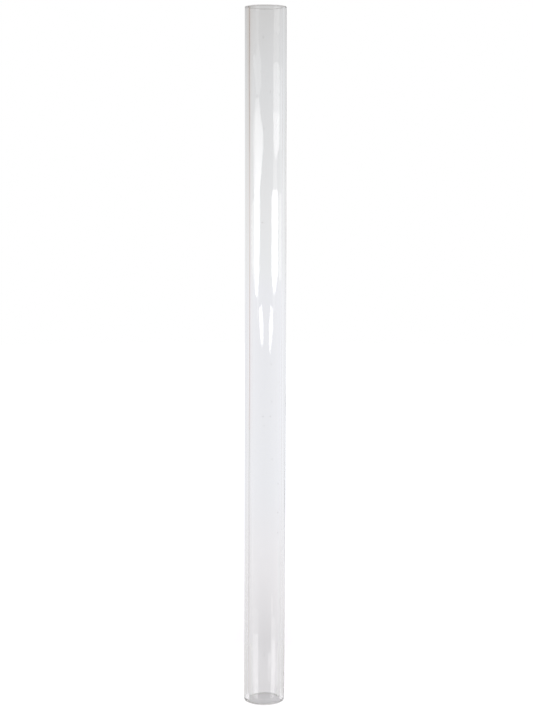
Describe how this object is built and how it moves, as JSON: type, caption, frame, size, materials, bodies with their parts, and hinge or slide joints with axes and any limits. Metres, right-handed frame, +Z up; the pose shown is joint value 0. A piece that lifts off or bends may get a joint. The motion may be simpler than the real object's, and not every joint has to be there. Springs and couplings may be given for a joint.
{
  "type": "clear glass tube",
  "caption": "Straight heavy-walled clear glass tube, open at both ends, with flame-rounded rims; the bare outer jacket tube of a laboratory condenser.",
  "frame": {"origin": "centre of the lower opening, on the plane of the lower rim, which the tube stands on", "axes": "+Z up along the tube's axis; the tube is round, so +X and +Y are any two square directions across it"},
  "size_m": [0.03, 0.03, 0.51],
  "materials": {
    "clear_glass": "clear, colourless, smooth drawn glass with flame-rounded rims"
  },
  "bodies": {
    "root": {"glass_tube": "clear_glass"}
  },
  "joints": []
}
